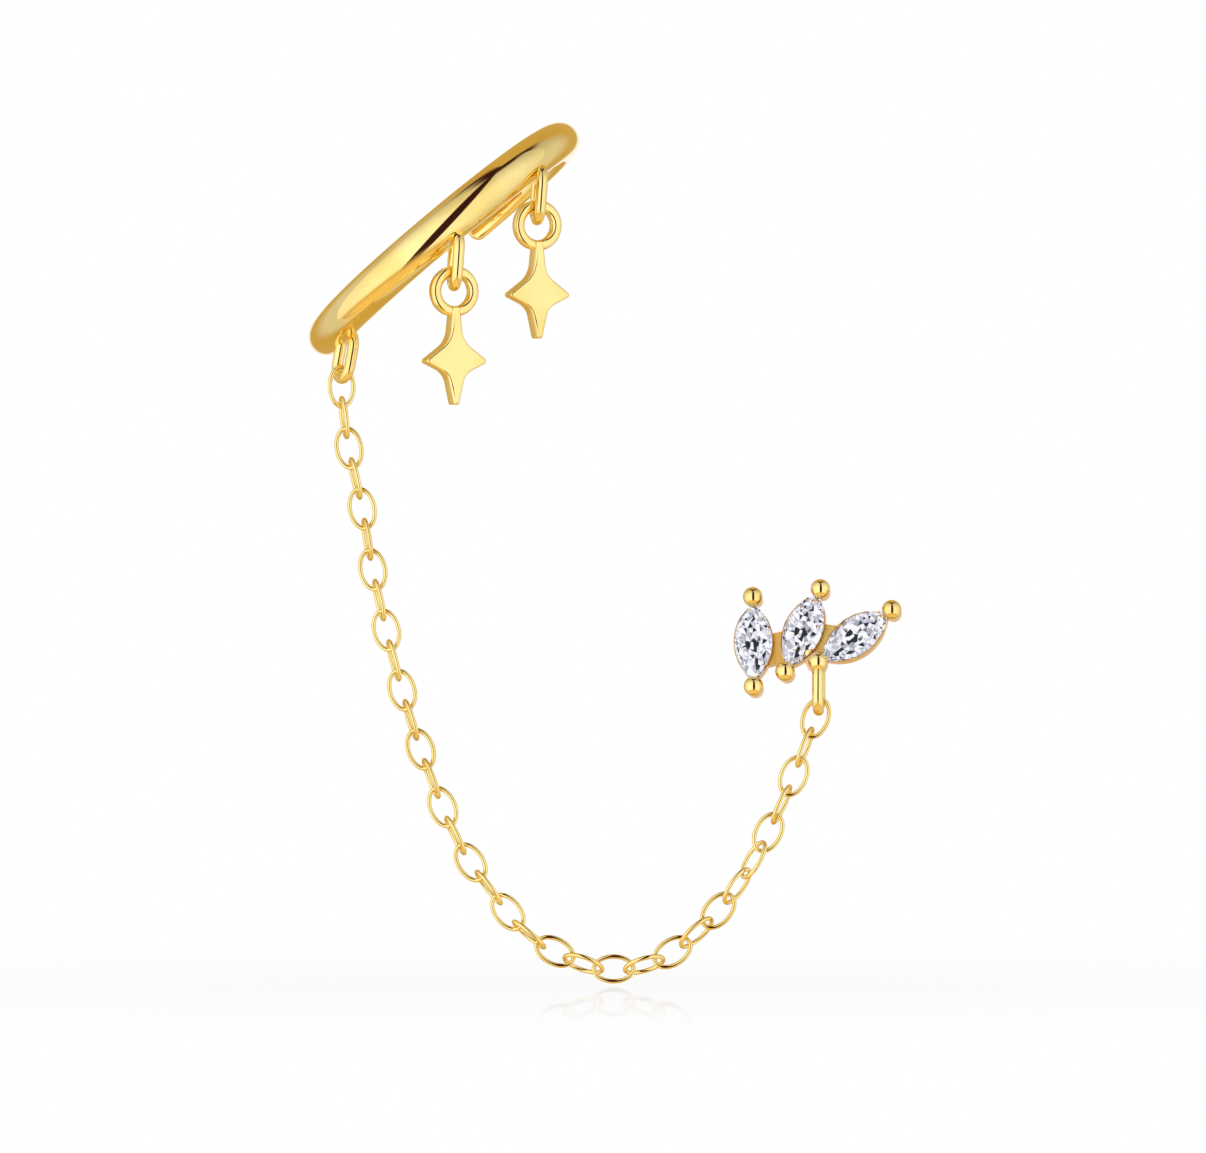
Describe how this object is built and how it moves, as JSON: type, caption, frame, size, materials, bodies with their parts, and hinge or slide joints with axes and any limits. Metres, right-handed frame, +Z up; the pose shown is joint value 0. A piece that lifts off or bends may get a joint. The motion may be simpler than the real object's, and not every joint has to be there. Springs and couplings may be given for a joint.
{
  "type": "ear chain earring",
  "caption": "Open ear cuff with two hanging star charms, joined by a fine oval link chain to a stud set with marquise stones; gold tone metal.",
  "frame": {"origin": "middle of the cuff's open ring, where it grips the rim of the ear", "axes": "+X to the right as seen from the front, +Y away from the viewer towards the ear, +Z up; the chain hangs down along -Z"},
  "size_m": [0.0223, 0.0146, 0.0324],
  "materials": {
    "gold": "polished yellow gold plating",
    "stone": "clear cut stone with polished facets"
  },
  "bodies": {
    "ear_chain": {"ear_cuff": "gold", "stud_setting": "gold", "stone_1": "stone", "stone_2": "stone", "stone_3": "stone", "link_01": "gold", "link_02": "gold", "link_03": "gold", "link_04": "gold", "link_05": "gold", "link_06": "gold", "link_07": "gold", "link_08": "gold", "link_09": "gold", "link_10": "gold", "link_11": "gold", "link_12": "gold", "link_13": "gold", "link_14": "gold", "link_15": "gold", "link_16": "gold", "link_17": "gold", "link_18": "gold", "link_19": "gold", "link_20": "gold", "link_21": "gold", "link_22": "gold", "link_23": "gold", "link_24": "gold", "link_25": "gold", "link_26": "gold", "link_27": "gold", "link_28": "gold", "link_29": "gold", "link_30": "gold", "link_31": "gold", "link_32": "gold", "link_33": "gold", "link_34": "gold"},
    "star_charm_1": {"star_charm_1": "gold"},
    "star_charm_2": {"star_charm_2": "gold"}
  },
  "joints": [
    {"name": "star_swing_1", "type": "hinge", "parent": "ear_chain", "child": "star_charm_1", "pos_m": [0.00042, -0.00591, -0.00185], "axis": [0.1646, -0.9863, -0.0115], "range_deg": [-35, 35]},
    {"name": "star_swing_2", "type": "hinge", "parent": "ear_chain", "child": "star_charm_2", "pos_m": [0.00351, -0.00412, 0.00065], "axis": [0.1646, -0.9863, -0.0115], "range_deg": [-35, 35]}
  ]
}
